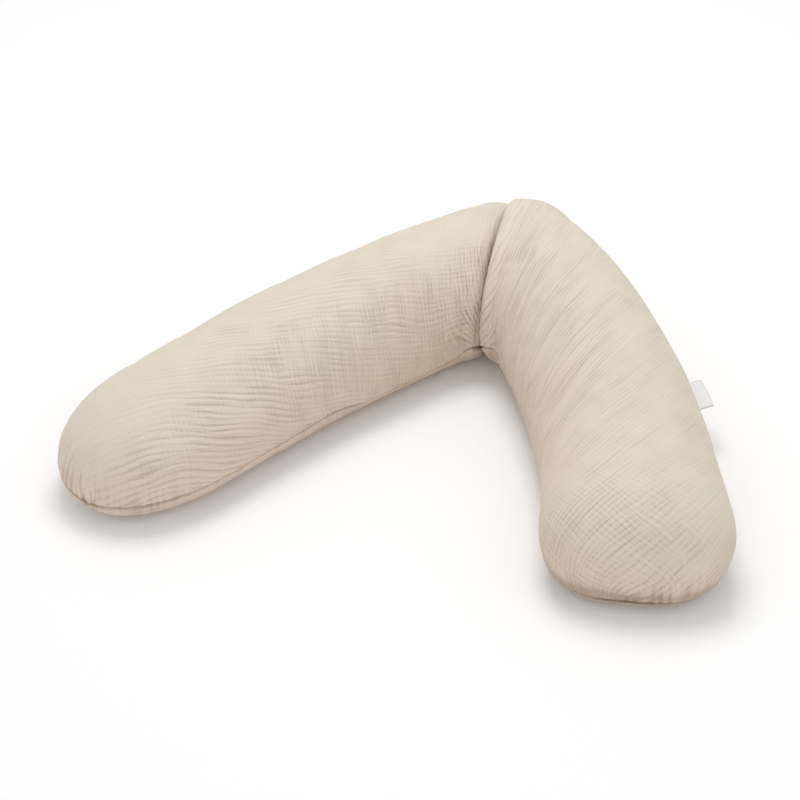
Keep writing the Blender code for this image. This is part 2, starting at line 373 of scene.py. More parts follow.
# %% The direction of the threads
LEFT_GRAIN = 20.6
RIGHT_GRAIN = 76.0
LEFT_PULL = {
    "along": {"turn": 0.16, "lean": 0.09, "fan": 0.0, "bow": 0.0},
    "cross": {"turn": -0.19, "lean": -0.1, "fan": 0.39, "bow": -1.25},
}
RIGHT_PULL = {
    "along": {"turn": -0.14, "lean": -0.25, "fan": 0.71, "bow": -0.78},
    "cross": {"turn": 0.11, "lean": 0.0, "fan": 0.0, "bow": -1.4},
}
MAP_MIDDLE = Vector((0.0, 0.30, 0.0))
CROWN_ROW = ROWS.index(("top", 90.0))
UNDER_ROW = UPPER_ROWS + (len(ROWS) - UPPER_ROWS) // 2


def pulled(arm, family, distance, arc):
    """How far a family of threads has moved off line, at a distance along the arm and across it."""
    pull = (LEFT_PULL if arm is LEFT else RIGHT_PULL)[family]
    return distance * (pull["turn"] + pull["fan"] * arc) + arc * (pull["lean"] + pull["bow"] * arc)


def flat_place(arm, station, past_end, arc):
    """Where a point lay on the flat cloth, in metres, with the threads along the first axis."""
    place, outwards, _ = middle_line(arm, station)
    onwards = Vector((outwards.y, -outwards.x, 0.0)) * arm["side"]
    point = place + outwards * arc + onwards * past_end - MAP_MIDDLE
    turn = math.radians(LEFT_GRAIN if arm is LEFT else RIGHT_GRAIN)
    distance = station + past_end
    return (
        point.x * math.cos(turn) + point.y * math.sin(turn) + pulled(arm, "cross", distance, arc),
        point.y * math.cos(turn) - point.x * math.sin(turn) + pulled(arm, "along", distance, arc),
    )


def girth_arcs(ring):
    """The length of cloth round a ring, for the upper panel from the crown and for the lower from below."""
    closed = ring + [ring[0]]
    walked = [0.0]
    for i in range(len(ring)):
        walked.append(walked[-1] + (closed[i + 1] - closed[i]).length)
    upper = [length - walked[CROWN_ROW] for length in walked[:UPPER_ROWS + 1]]
    lower = [walked[UNDER_ROW] - length for length in walked[UPPER_ROWS:]]
    return upper, lower


def tip_extra(arm, grid):
    """For each ring, how much further the cloth has run over the end than the middle line has."""
    start = arm["length"] - arm["tip"]
    extra, walked, before = {}, 0.0, None
    for ring in sorted((i for i, row in enumerate(RINGS) if row[0] is arm), key=lambda i: RINGS[i][1]):
        station = RINGS[ring][1]
        if station > start + 1e-6:
            walked += (grid[ring][CROWN_ROW] - grid[before][CROWN_ROW]).length
        extra[ring] = max(0.0, walked - max(0.0, station - start))
        before = ring
    return extra


print("threads run at", LEFT_GRAIN, "and", RIGHT_GRAIN, "degrees")

# %% [markdown]
# ## From a ball to a pillow
#
# A ball is already a grid of rings and rows with two closed poles. `create_uvsphere` makes one with as
# many segments as there are rows, and each of its points is then moved to the surface. The faces
# stay as they are, so the mesh is closed and faces outwards from the start. The map of the flat cloth
# goes into a UV map, one value for each corner of a face, so each panel has its own. The same
# place is also kept on the points, where the puckers will read it.

# %% Build the smooth cover
FOLD_RING = RINGS.index((RIGHT, 0.0, 0.0))


def ball_index(vertex, steps):
    """The ring and row of a point of the ball. Rings 0 and steps are the two poles."""
    x, y, z = vertex.co
    ring = round(math.acos(max(-1.0, min(1.0, z))) / math.pi * steps)
    return ring, round(math.atan2(-x, y) / math.tau * len(ROWS)) % len(ROWS)


def cloth_maps(grid):
    """For each ring the flat places and arcs of the upper and the lower panel. The fold's ring has two."""
    extras = {**tip_extra(LEFT, grid), **tip_extra(RIGHT, grid)}
    maps = []
    for i, (arm, station, _) in enumerate(RINGS):
        upper, lower = girth_arcs(grid[i])
        both = [[flat_place(arm, station, extras[i], arc) for arc in arcs] for arcs in (upper, lower)]
        maps.append({"upper": both[0], "lower": both[1], "upper_arcs": upper, "lower_arcs": lower})
    upper, lower = girth_arcs(grid[FOLD_RING])
    left_side = {
        "upper": [flat_place(LEFT, 0.0, 0.0, arc) for arc in upper],
        "lower": [flat_place(LEFT, 0.0, 0.0, arc) for arc in lower],
    }
    return maps, left_side


def write_uv(mesh, index, maps, left_side):
    """Gives each corner of each face its place on the flat cloth."""
    cloth = mesh.loops.layers.uv["cloth_place"]
    count, last = len(ROWS), len(RINGS)
    for face in mesh.faces:
        places = [index[loop.vert] for loop in face.loops]
        rows_here = [row for ring, row in places if 0 < ring <= last]
        wraps = max(rows_here) - min(rows_here) > 2
        low = max(rows_here) if wraps else min(rows_here)
        panel, first = ("upper", 0) if low < UPPER_ROWS else ("lower", UPPER_ROWS)
        on_left = min(ring for ring, _ in places) - 1 < FOLD_RING
        for loop, (ring, row) in zip(face.loops, places):
            here = min(max(ring - 1, 0), last - 1)
            table = left_side if here == FOLD_RING and on_left else maps[here]
            if ring in (0, last + 1):
                row = low
            elif wraps and row == 0:
                row = count
            loop[cloth].uv = table[panel][row - first]


def write_places(mesh, index, maps, grid):
    """Gives each point its place for the puckers: threads, distance along and across, and to the seam."""
    threads = mesh.verts.layers.float_vector["thread_place"]
    arms = mesh.verts.layers.float_vector["arm_place"]
    last = len(RINGS)
    for vertex, (ring, row) in index.items():
        here = min(max(ring - 1, 0), last - 1)
        arm, station, climb = RINGS[here]
        panel, first = ("upper", 0) if row < UPPER_ROWS else ("lower", UPPER_ROWS)
        if ring in (0, last + 1):
            panel, first, row = "upper", 0, CROWN_ROW
        arcs = maps[here][panel + "_arcs"]
        arc = arcs[row - first]
        to_seam = min(abs(arc - arcs[0]), abs(arc - arcs[-1]))
        if ring in (0, last + 1):
            to_seam = 0.0
        vertex[threads] = Vector((*maps[here][panel][row - first], math.radians(climb)))
        vertex[arms] = Vector((arm["side"] * station, arc if panel == "upper" else 1.0 + arc, to_seam))


def add_piece(mesh, name):
    """Turns a bmesh into an object of the scene."""
    data = bpy.data.meshes.new(name)
    mesh.to_mesh(data)
    mesh.free()
    piece = bpy.data.objects.new(name, data)
    bpy.context.scene.collection.objects.link(piece)
    return piece


def build_cover():
    """Makes the smooth cover with its maps, and returns it."""
    count, steps = len(ROWS), len(RINGS) + 1
    grid = [[surface_point(arm, station, climb, row) for row in ROWS] for arm, station, climb in RINGS]
    maps, left_side = cloth_maps(grid)
    mesh = bmesh.new()
    mesh.loops.layers.uv.new("cloth_place")
    mesh.verts.layers.float_vector.new("thread_place")
    mesh.verts.layers.float_vector.new("arm_place")
    bmesh.ops.create_uvsphere(mesh, u_segments=count, v_segments=steps, radius=1.0)
    index = {vertex: ball_index(vertex, steps) for vertex in mesh.verts}
    for vertex, (ring, row) in index.items():
        if ring in (0, steps):
            arm = LEFT if ring == 0 else RIGHT
            height = tip_height(arm, read_table(arm["sections"], "crown", 1.0))
            vertex.co = middle_line(arm, arm["length"])[0] + Vector((0.0, 0.0, height))
        else:
            vertex.co = grid[ring - 1][row]
    write_uv(mesh, index, maps, left_side)
    write_places(mesh, index, maps, grid)
    return add_piece(mesh, "pillow_cover")


cover = build_cover()
print("smooth cover:", len(cover.data.polygons), "faces")

# %% [markdown]
# ## On the frame
#
# The cover takes the place of the plain solid, so it has to lie where that lies. Its middle is moved
# to the solid's middle and its lowest point to the floor. All points move at once, as rows of an
# array, and the object itself stays at the origin, which keeps patterns and export simple.

# %% Put the cover where the frame has it
def place_on_frame(piece, node):
    """Moves the points so that the piece shares the node's middle and stands at its height."""
    low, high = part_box(node)
    points = read_points(piece.data)
    middle = (points.min(axis=0) + points.max(axis=0)) / 2.0
    shift = np.array([(low.x + high.x) / 2.0, (low.y + high.y) / 2.0, low.z])
    shift -= np.array([middle[0], middle[1], points[:, 2].min()])
    write_points(piece.data, points + shift)
    return shift


def read_points(data):
    """The points of a mesh as rows of x, y and z."""
    flat = np.empty(len(data.vertices) * 3)
    data.vertices.foreach_get("co", flat)
    return flat.reshape(-1, 3)


def write_points(data, points):
    """Moves the points of a mesh."""
    data.vertices.foreach_set("co", points.astype(np.float32).ravel())
    data.update()


def read_vectors(data, name):
    """A vector attribute of the points as rows."""
    flat = np.empty(len(data.vertices) * 3)
    data.attributes[name].data.foreach_get("vector", flat)
    return flat.reshape(-1, 3)


shift = place_on_frame(cover, COVER_NODE)
print("moved by", np.round(shift, 4))

# %% [markdown]
# ## Filling the cover
#
# So far the cover has the shape of its pattern. A cloth simulation blows it up like the filling does:
# the pressure pushes the cloth out between the parts that are held, which are the seams, the
# underside and the walls of the crease. The cloth is cut a little larger than the form, so
# it also finds a few soft folds of its own. A point's movement is then limited softly to 3 mm, so that
# the pillow keeps its outline. The result is applied, and the simulation leaves no modifier behind.

# %% Simulate the cloth
FILL_FRAMES = 20
FILL_PRESSURE = 4.0
FILL_CAP = 0.003
CLOTH_EASE = -0.006
HELD_BY_SEAM = 0.004
HELD_BY_FLOOR = 0.012
HELD_WALL = math.radians(80.0)


def hold_points(piece):
    """A vertex group of the points that the simulation doesn't move."""
    group = piece.vertex_groups.new(name="held")
    data = piece.data
    walls, places = data.attributes["thread_place"].data, data.attributes["arm_place"].data
    held = [
        i for i, vertex in enumerate(data.vertices)
        if vertex.co.z < HELD_BY_FLOOR or walls[i].vector.z < HELD_WALL or places[i].vector.z < HELD_BY_SEAM
    ]
    group.add(held, 1.0, "REPLACE")
    return group, len(held)


def add_cloth(piece, group):
    """A Cloth modifier with pressure, without gravity, and a little more cloth than the form needs."""
    cloth = piece.modifiers.new("filling", "CLOTH")
    settings = cloth.settings
    settings.quality = 6
    settings.mass = 0.3
    settings.tension_stiffness = 15.0
    settings.compression_stiffness = 15.0
    settings.bending_stiffness = 0.5
    settings.shrink_min = CLOTH_EASE
    settings.use_pressure = True
    settings.uniform_pressure_force = FILL_PRESSURE
    settings.vertex_group_mass = group.name
    settings.effector_weights.gravity = 0.0
    cloth.point_cache.frame_start = 1
    cloth.point_cache.frame_end = FILL_FRAMES


def fill_cover(piece):
    """Runs the simulation, limits how far each point moves, and applies the result."""
    before = read_points(piece.data)
    group, held = hold_points(piece)
    add_cloth(piece, group)
    bpy.context.scene.frame_start = 1
    bpy.context.scene.frame_end = FILL_FRAMES
    for frame in range(1, FILL_FRAMES + 1):
        bpy.context.scene.frame_set(frame)
    graph = bpy.context.evaluated_depsgraph_get()
    after = read_points(piece.evaluated_get(graph).data)
    piece.modifiers.clear()
    piece.vertex_groups.clear()
    bpy.context.scene.frame_set(1)
    move = after - before
    length = np.linalg.norm(move, axis=1)
    limited = FILL_CAP * np.tanh(length / FILL_CAP) / np.maximum(length, 1e-9)
    write_points(piece.data, before + move * limited[:, None])
    return held, length


held, length = fill_cover(cover)
print("held points:", held, "mean move:", round(float(length.mean()) * 1000.0, 2), "mm",
      "largest:", round(float(length.max()) * 1000.0, 1), "mm")

# %% [markdown]
# ## Fine points for fine cloth
#
# The puckers of the gauze are less than a centimetre apart, so the cover needs a fine mesh before they
# can be real relief. A Subdivision Surface modifier splits each face into sixteen and rounds the form
# on the way. It also carries the maps along, which remeshing would lose.

# %% Subdivide the cover
FINE_LEVELS = 2


def subdivide(piece, levels):
    """Applies a Subdivision Surface of so many levels."""
    fine = piece.modifiers.new("fine", "SUBSURF")
    fine.levels = levels
    fine.render_levels = levels
    graph = bpy.context.evaluated_depsgraph_get()
    result = piece.evaluated_get(graph)
    data = bpy.data.meshes.new_from_object(result, preserve_all_data_layers=True, depsgraph=graph)
    piece.modifiers.clear()
    old = piece.data
    piece.data = data
    bpy.data.meshes.remove(old)
    data.name = piece.name


subdivide(cover, FINE_LEVELS)
print("fine cover:", len(cover.data.polygons), "faces, attributes", [a.name for a in cover.data.attributes])

# %% [markdown]
# ## Puckers
#
# Double gauze is two thin layers tied together at small points, and it shrinks into puckers when it is
# washed. Most of them are long waves along the threads. Each wave is uneven: its line wanders, it
# swells and fades, and it runs into its neighbours. Layers of noise on the flat map do all of that:
# slow noise bends the lines, and noise stretched along the threads makes the waves themselves. The
# height is then added along the normals, as real relief. A bump in the material would be quicker, but
# the outline of the pillow would stay smooth, and no pucker would shade the next.

# %% Noise and masks
def noise_at(x, y, layer):
    """Smooth noise between about -1 and 1 at each place of the flat map."""
    return np.array([noise.noise((a, b, layer)) for a, b in zip(x.tolist(), y.tolist())])


def soft(value):
    """Smooth step of an array, from 0 at 0 to 1 at 1."""
    value = np.clip(value, 0.0, 1.0)
    return value * value * (3.0 - 2.0 * value)


def rises(value, start, reach, least=0.0):
    """From least to 1 as a value goes past start, over a reach. With a negative reach it falls."""
    return least + (1.0 - least) * soft((value - start) / reach)


threads = read_vectors(cover.data, "thread_place")
arms = read_vectors(cover.data, "arm_place")
along_threads, across_threads, wall = threads[:, 0], threads[:, 1], threads[:, 2]
on_right = arms[:, 0] > 0.0
station = np.abs(arms[:, 0])
on_lower_panel = arms[:, 1] > 0.5
girth = np.where(on_lower_panel, arms[:, 1] - 1.0, arms[:, 1])
to_seam = arms[:, 2]
print("points:", len(station), "furthest from a seam:", round(float(to_seam.max()), 3))

# %% [markdown]
# ## Waves along the threads
#
# The two arms are made of the same cloth, but the left one lies in broader, lower waves and the right
# one in narrow, sharper ones, with a few broad streaks. The waves are strongest on the side that
# faces the camera and fade over the crown. That is told with shares from 0 to 1, one factor for each
# place where the cloth lies smoother.

# %% Two kinds of wave
WANDER = 0.010
WANDER_REACH = 0.13
GROUP_WIDTH = 0.030
RIDGE_MEAN = 2.0 / math.pi
RIDGE_SHARE = 1.9
STREAK_SHARE = 0.8
UNEVENNESS = 0.45


def ridges(across, pitch, shift_by):
    """Round ridges with sharp valleys between them, about 0 on average."""
    return np.abs(np.sin(math.pi * (across / pitch + shift_by))) - RIDGE_MEAN


def wave_relief(along, across, pitch, length, layer):
    """Uneven long waves: ridges that wander, swell and run into their neighbours, and some streaks."""
    bent = across + WANDER * noise_at(along / WANDER_REACH, across / WANDER_REACH, layer)
    uneven = UNEVENNESS * noise_at(along / length, bent / (2.5 * pitch), layer + 1.0)
    groups = noise_at(along / length, bent / GROUP_WIDTH, layer + 3.0)
    strength = 0.40 + 0.60 * soft(0.5 + 0.9 * groups)
    streaks = noise_at(along / length, bent / (0.55 * pitch), layer + 2.0)
    return strength * (RIDGE_SHARE * ridges(bent, pitch, uneven) + STREAK_SHARE * streaks)


def streak_relief(along, across, pitch, length, layer):
    """Streaks of uneven width that come in groups."""
    bent = across + 0.4 * WANDER * noise_at(along / WANDER_REACH, across / WANDER_REACH, layer)
    groups = noise_at(along / (2.0 * length), bent / GROUP_WIDTH, layer + 1.0)
    groups = 0.35 + 0.65 * soft(0.5 + 1.1 * groups)
    fine = noise_at(along / length, bent / (0.6 * pitch), layer + 2.0)
    return 1.7 * groups * fine


print("mean height of a ridge before it is centred:", round(RIDGE_MEAN, 3))

# %% Waves on both arms
LEFT_PITCH = 0.0096
LEFT_HEIGHT = 0.00056
RIGHT_PITCH = 0.0070
RIGHT_HEIGHT = 0.00074
LEFT_LENGTH = 0.065
RIGHT_LENGTH = 0.10
BROAD_PITCH = 0.013
BROAD_HEIGHT = 0.00018
BROAD_LENGTH = 0.16
relief = np.zeros(len(station))
left, right = ~on_right, on_right
left_along, left_girth = station[left], girth[left]
right_along, right_girth = station[right], girth[right]
left_threads = along_threads[left], across_threads[left]
right_threads = along_threads[right], across_threads[right]

left_share = rises(left_girth, start=0.085, reach=-0.10, least=0.22)
left_share *= rises(left_along, start=0.02, reach=0.07, least=0.25)
by_the_tip = rises(left_along, start=0.62, reach=0.15) * rises(left_girth, start=-0.08, reach=0.06)
left_share *= 1.0 - 0.45 * by_the_tip
low_down = rises(left_girth, start=-0.05, reach=-0.05) * rises(left_along, start=0.45, reach=0.10)
left_share += 0.7 * low_down
left_share *= 1.0 - 0.25 * rises(left_along, start=0.24, reach=-0.12)
right_share = rises(right_girth, start=0.05, reach=-0.08, least=0.50)
right_share *= 1.0 - 0.40 * rises(right_along, start=0.48, reach=0.10)

relief[left] += LEFT_HEIGHT * left_share * wave_relief(*left_threads, LEFT_PITCH, LEFT_LENGTH, 2.0)
relief[right] += RIGHT_HEIGHT * right_share * wave_relief(*right_threads, RIGHT_PITCH, RIGHT_LENGTH, 12.0)
relief[right] += BROAD_HEIGHT * streak_relief(*right_threads, BROAD_PITCH, BROAD_LENGTH, 17.0)
print("waves up to", round(float(np.abs(relief).max()) * 1000.0, 2), "mm")

# %% [markdown]
# ## The cross threads
#
# Gauze shrinks both ways, so a second family of puckers runs square to the first. It shows where the
# cloth is slack: at the wide end of the right arm, where the two make a lattice, and low on the
# left arm.

# %% Waves across the threads
LATTICE_PITCH = 0.0079
LATTICE_HEIGHT = 0.00056
LATTICE_LENGTH = 0.06
LATTICE_CROSS = 0.7
CROSS_PITCH = 0.0080
CROSS_HEIGHT = 0.00036
CROSS_LENGTH = 0.05
lattice_share = 0.20 * rises(right_along, start=0.36, reach=0.20)
lattice_share = lattice_share + 0.80 * rises(right_along, start=0.62, reach=0.11)
lattice_share *= rises(right_girth, start=0.13, reach=-0.10, least=0.35)
cross_left = rises(left_girth, start=-0.01, reach=-0.07, least=0.20)
cross_left = cross_left * rises(left_girth, start=0.10, reach=-0.06)
cross_left *= 1.0 - 0.5 * rises(left_along, start=0.50, reach=0.15)
cross_left = np.maximum(cross_left, np.exp(-left_along / 0.07))

cross = wave_relief(*right_threads[::-1], LATTICE_PITCH, LATTICE_LENGTH, 23.0)
relief[right] += LATTICE_CROSS * LATTICE_HEIGHT * lattice_share * cross
more = wave_relief(*right_threads, LATTICE_PITCH, LATTICE_LENGTH, 29.0)
relief[right] += LATTICE_HEIGHT * lattice_share * more
cross = wave_relief(*left_threads[::-1], CROSS_PITCH, CROSS_LENGTH, 27.0)
relief[left] += CROSS_HEIGHT * cross_left * cross
print("with cross waves up to", round(float(np.abs(relief).max()) * 1000.0, 2), "mm")

# %% [markdown]
# ## Drawn folds
#
# A few folds are deeper and longer than the rest. They fan out over the right arm from its inner side,
# where the bend draws the cloth tight. Each is one line along the threads, with a narrow valley
# and a low ridge beside it, so a short table is the clearest way to place them.

# %% The deeper folds of the right arm
DRAWN_FOLDS = [
    {"across": -0.183, "start": -0.52, "end": -0.28, "depth": 0.0007},
    {"across": -0.231, "start": -0.55, "end": -0.26, "depth": 0.0008},
    {"across": -0.283, "start": -0.47, "end": -0.25, "depth": 0.0006},
    {"across": -0.330, "start": -0.62, "end": -0.30, "depth": 0.0008},
    {"across": -0.346, "start": -0.62, "end": -0.38, "depth": 0.0005},
    {"across": -0.388, "start": -0.63, "end": -0.36, "depth": 0.0011},
    {"across": -0.404, "start": -0.63, "end": -0.40, "depth": 0.0007},
    {"across": -0.444, "start": -0.62, "end": -0.40, "depth": 0.0007},
]
FOLD_WIDTH = 0.0015
FOLD_WANDER = 0.006
FOLD_WANDER_REACH = 0.12


def drawn_fold(along, across, fold):
    """One long fold: a narrow valley and a low ridge, fading out at both ends."""
    own_layer = np.full_like(across, fold["across"] * 40.0)
    line = fold["across"] + FOLD_WANDER * noise_at(along / FOLD_WANDER_REACH, own_layer, 33.0)
    off = (across - line) / FOLD_WIDTH
    shape = -np.exp(-(off**2)) + 0.5 * np.exp(-(((off - 2.3) / 1.4) ** 2))
    fade = rises(along, fold["start"], reach=0.06) * rises(along, fold["end"], reach=-0.08)
    return fold["depth"] * fade * shape


for fold in DRAWN_FOLDS:
    relief[right] += drawn_fold(*right_threads, fold)
print("drawn folds:", len(DRAWN_FOLDS))

# %% [markdown]
# ## Gathers
#
# Where a seam turns a tight corner, the upper panel has more cloth than the seam has length, so it is
# gathered: short puckers run straight away from the stitches and die out. They sit round both
# tips, and beside the crease, where the folded cloth is squeezed.

# %% Gathers round the tips and by the crease
GATHER_HEIGHT = 0.0048
GATHER_REACH = 0.036
GATHER_PITCH = 0.0062
GATHER_WIDTH = 0.060
GATHER_START = 0.17
LEFT_GATHERS = 0.015
RIGHT_GATHERS = 0.100
RIGHT_GATHER_SHARE = 0.55
HALF_WIDTH = 0.134
SQUEEZE_HEIGHT = 0.00075
SQUEEZE_PITCH = 0.0042
SQUEEZE_LENGTH = 0.09
SQUEEZE_REACH = 0.055


def tip_gathers(points, arm, mask, middle):
    """Short puckers that run from the seam towards the middle of a tip, strongest at one place."""
    centre = np.array(middle_line(arm, arm["length"] - HALF_WIDTH)[0]) + shift
    off = points[mask] - centre
    around = np.arctan2(off[:, 1], off[:, 0]) * HALF_WIDTH
    fade = np.exp(-to_seam[mask] / GATHER_REACH)
    fade *= soft((station[mask] - arm["length"] + GATHER_START) / 0.09)
    uneven = 0.35 + 0.65 * soft(0.5 + 1.2 * noise_at(around / 0.06, np.zeros_like(around), 43.0))
    fade *= 0.22 + 0.78 * np.exp(-(((girth[mask] - middle) / GATHER_WIDTH) ** 2))
    lines = noise_at(around / GATHER_PITCH, to_seam[mask] / 0.05, 41.0)
    return GATHER_HEIGHT * fade * uneven * 1.7 * lines


points = read_points(cover.data)
relief[left] += tip_gathers(points, LEFT, left, LEFT_GATHERS)
relief[right] += RIGHT_GATHER_SHARE * tip_gathers(points, RIGHT, right, RIGHT_GATHERS)
squeezed = np.exp(-np.clip(station - 0.02, 0.0, None) / SQUEEZE_REACH)
lines = noise_at(station / SQUEEZE_PITCH, girth / SQUEEZE_LENGTH + on_right * 7.0, 47.0)
relief += SQUEEZE_HEIGHT * squeezed * lines
print("with gathers up to", round(float(np.abs(relief).max()) * 1000.0, 2), "mm")

# %% [markdown]
# ## The seams
#
# The stitches pull the cover in, and the filling pushes it out on both sides of them. So a seam lies at
# the bottom of a narrow groove between two low rolls. By the fold the left arm's inner seam is tucked
# in deeper. The distance to the seam is already on the points, so the groove is one more relief.

# %% Grooves along the seams
SEAM_DEPTH = 0.0062
SEAM_WIDTH = 0.0021
ROLL_HEIGHT = 0.0012
ROLL_OFF = 0.0062
TUCK_DEPTH = 0.010
TUCK_REACH = 0.055


def seam_relief():
    """The groove, its two rolls and the tuck by the fold."""
    groove = np.exp(-((to_seam / SEAM_WIDTH) ** 2))
    rolls = np.exp(-(((to_seam - ROLL_OFF) / (0.6 * ROLL_OFF)) ** 2))
    tuck = np.exp(-((station / TUCK_REACH) ** 2)) * ~on_right * (girth < 0.0)
    wide = np.exp(-((to_seam / (2.2 * SEAM_WIDTH)) ** 2))
    uneven = 1.0 + 0.25 * noise_at(along_threads / 0.03, across_threads / 0.03, 51.0)
    return ROLL_HEIGHT * rolls * uneven - SEAM_DEPTH * groove - TUCK_DEPTH * tuck * wide


seams = seam_relief()
print("seams", round(float(-seams.min()) * 1000.0, 1), "mm deep at most")

# %% [markdown]
# ## Soft unevenness
#
# The filling is loose, so the whole form is a little lumpy, in lumps as large as a hand and smaller.
# The underside stays flat, because it lies on the floor, and the puckers and gathers stop short of the seams
# themselves.

# %% Lumps, and the masks that keep seams and floor
LUMP_HEIGHT = 0.0015
LUMP_SIZE = 0.11
SMALL_LUMP_HEIGHT = 0.0003
SMALL_LUMP_SIZE = 0.04
FLOOR_MARGIN = 0.004
SEAM_MARGIN = 0.006
WALL_MARGIN = 0.6


def lumps(points, size, layer):
    """Smooth noise in space."""
    return np.array([noise.noise((x / size + layer, y / size, z / size)) for x, y, z in points.tolist()])


off_floor = rises(points[:, 2], start=FLOOR_MARGIN, reach=0.03)
off_wall = soft(wall / WALL_MARGIN)
large_lumps = LUMP_HEIGHT * lumps(points, LUMP_SIZE, 3.0) * off_floor * off_wall
relief *= soft(to_seam / SEAM_MARGIN) * off_wall * off_floor
relief += large_lumps
relief += SMALL_LUMP_HEIGHT * lumps(points, SMALL_LUMP_SIZE, 9.0) * off_floor * off_wall
relief += seams * (0.3 + 0.7 * off_wall)


def raise_points(piece, height):
    """Moves each point along its normal."""
    data = piece.data
    normals = np.empty(len(data.vertices) * 3)
    data.vertices.foreach_get("normal", normals)
    write_points(data, read_points(data) + normals.reshape(-1, 3) * height[:, None])


raise_points(cover, relief)
cover.data.shade_smooth()
print("raised", len(relief), "points")

# %% [markdown]
# ## Valleys and faces for the finish
#
# Thin cloth looks lighter on a ridge, where light passes through it, and darker in a valley, where two
# layers lie together, and on top of that the valleys carry painted shade. The relief is kept on the
# points as one number between 0 and 1, for the material to read, and the same number holds painted shade
# along the seams, round the tips, low at the wide end of the right arm and in the corner by the crease.
# The points also keep a warm, pinker painted shade, which lies low down, on the inner sides and in the
# corner by the crease, and the strength of the finest puckers in both directions. A material could find
# the valleys by itself with ambient occlusion, but that is slow to render and blurs puckers this small.
# The other maps have done their work and go.

# %% Keep what the material reads, and drop the working maps
VALLEY_RANGE = 0.0014
SHADE_BELOW = 0.150
LEFT_SHADE_REACH = 0.014
RIGHT_SHADE_REACH = 0.026
LEFT_SHADE = 0.7
RIGHT_SHADE = 1.2
LOW_SHADE = 0.50
DARKEST_SHADE = 0.92
DEEPEST_PUCKER = 0.85
CORNER_REACH = 0.06
CORNER_SHARE = 0.40
LEAST_CROSS = 0.18


def keep_values(piece, name, values):
    """Writes one number for each point, from 0 to 1."""
    layer = piece.data.attributes.new(name, "FLOAT", "POINT")
    layer.data.foreach_set("value", np.clip(values, 0.0, 1.0).astype(np.float32))


def find_painted_shade(height):
    """How deep in a valley each point is, with painted shade in the seams, round the tips and low at the
    wide end of the right arm.
    """
    depth = np.clip(0.5 - (height - large_lumps - seams) / VALLEY_RANGE, 0.0, DEEPEST_PUCKER)
    depth = np.maximum(depth, 1.0 - soft(to_seam / 0.004))
    length = np.where(on_right, RIGHT["length"], LEFT["length"])
    near_tip = soft((station - length + 0.16) / 0.08)
    reach = np.where(on_right, RIGHT_SHADE_REACH, LEFT_SHADE_REACH)
    # Painted shade along the seams round both tips, and low down at the wide end of the right arm.
    shade = np.where(on_right, RIGHT_SHADE, LEFT_SHADE) * near_tip * np.exp(-to_seam / reach)
    shade += LOW_SHADE * on_right * near_tip * lowness
    return 1.0 - (1.0 - depth) * (1.0 - DARKEST_SHADE * np.minimum(shade, 1.0))


# How low a point is. Below this height the cloth gets painted warm shade, and the right end gets painted
# shade.
lowness = soft((SHADE_BELOW - points[:, 2]) / SHADE_BELOW)
valley_seam_and_tip_shade = find_painted_shade(relief)
# The corner by the crease on the left arm, which gets painted shade and painted warm shade.
by_corner = np.exp(-station / CORNER_REACH) * ~on_right * soft(-girth / 0.12)
thread_share = np.where(on_right, 1.0 - 0.25 * soft((station - 0.40) / 0.2), 0.45)
thread_share[left] *= left_share
thread_share[right] *= right_share
cross_share = np.empty(len(station))
cross_share[left] = 0.9 * cross_left
cross_share[right] = np.maximum(LEAST_CROSS, 0.7 * lattice_share)
inner_side = rises(girth, start=0.02, reach=-0.16)
# Painted shade in the valleys, along the seams, round the tips and in the corner by the crease.
keep_values(cover, "painted_shade", np.minimum(valley_seam_and_tip_shade + CORNER_SHARE * by_corner, 1.0))
# Painted warm shade, pinker, low down, on the inner sides and in the corner by the crease.
keep_values(cover, "warm_shade", 0.30 * inner_side + 0.90 * lowness + CORNER_SHARE * by_corner)
keep_values(cover, "thread_share", thread_share)
keep_values(cover, "cross_share", cross_share)
for name in ("thread_place", "arm_place"):
    cover.data.attributes.remove(cover.data.attributes[name])
print("mean valley:", round(float(valley_seam_and_tip_shade.mean()), 2))

# %% [markdown]
# ## Shared effects for the cloth
#
# Three effects are shader node groups, so that any cloth of the scene can use them with its own
# values: the fine crinkle of the gauze, the weave of its threads, and the slow drift of an undyed
# colour. Each group only gives out heights or masks, and the shader stays in the material.

# %% A helper for node groups
def new_group(name, inputs, outputs):
    """An empty shader node group with named sockets, as (group, its inputs, its outputs)."""
    group = bpy.data.node_groups.new(name, "ShaderNodeTree")
    for label, kind, value in inputs:
        socket = group.interface.new_socket(label, in_out="INPUT", socket_type=kind)
        if value is not None:
            socket.default_value = value
    for label, kind in outputs:
        group.interface.new_socket(label, in_out="OUTPUT", socket_type=kind)
    return group, group.nodes.new("NodeGroupInput"), group.nodes.new("NodeGroupOutput")


def add_math(tree, operation, first, second=None):
    """A Math node whose inputs are sockets or numbers. Returns its output."""
    node = tree.nodes.new("ShaderNodeMath")
    node.operation = operation
    for slot, value in zip(node.inputs, (first, second)):
        if isinstance(value, bpy.types.NodeSocket):
            tree.links.new(value, slot)
        elif value is not None:
            slot.default_value = value
    return node.outputs[0]


def add_threads(tree, place):
    """Round ridges side by side, one for each whole number of place."""
    return add_math(tree, "ABSOLUTE", add_math(tree, "SINE", add_math(tree, "MULTIPLY", place, math.pi)))


def add_noise(tree, vector, scale, detail):
    """A Noise Texture on a vector. Returns its value."""
    node = tree.nodes.new("ShaderNodeTexNoise")
    node.inputs["Scale"].default_value = scale
    node.inputs["Detail"].default_value = detail
    tree.links.new(vector, node.inputs["Vector"])
    return node.outputs["Fac"]


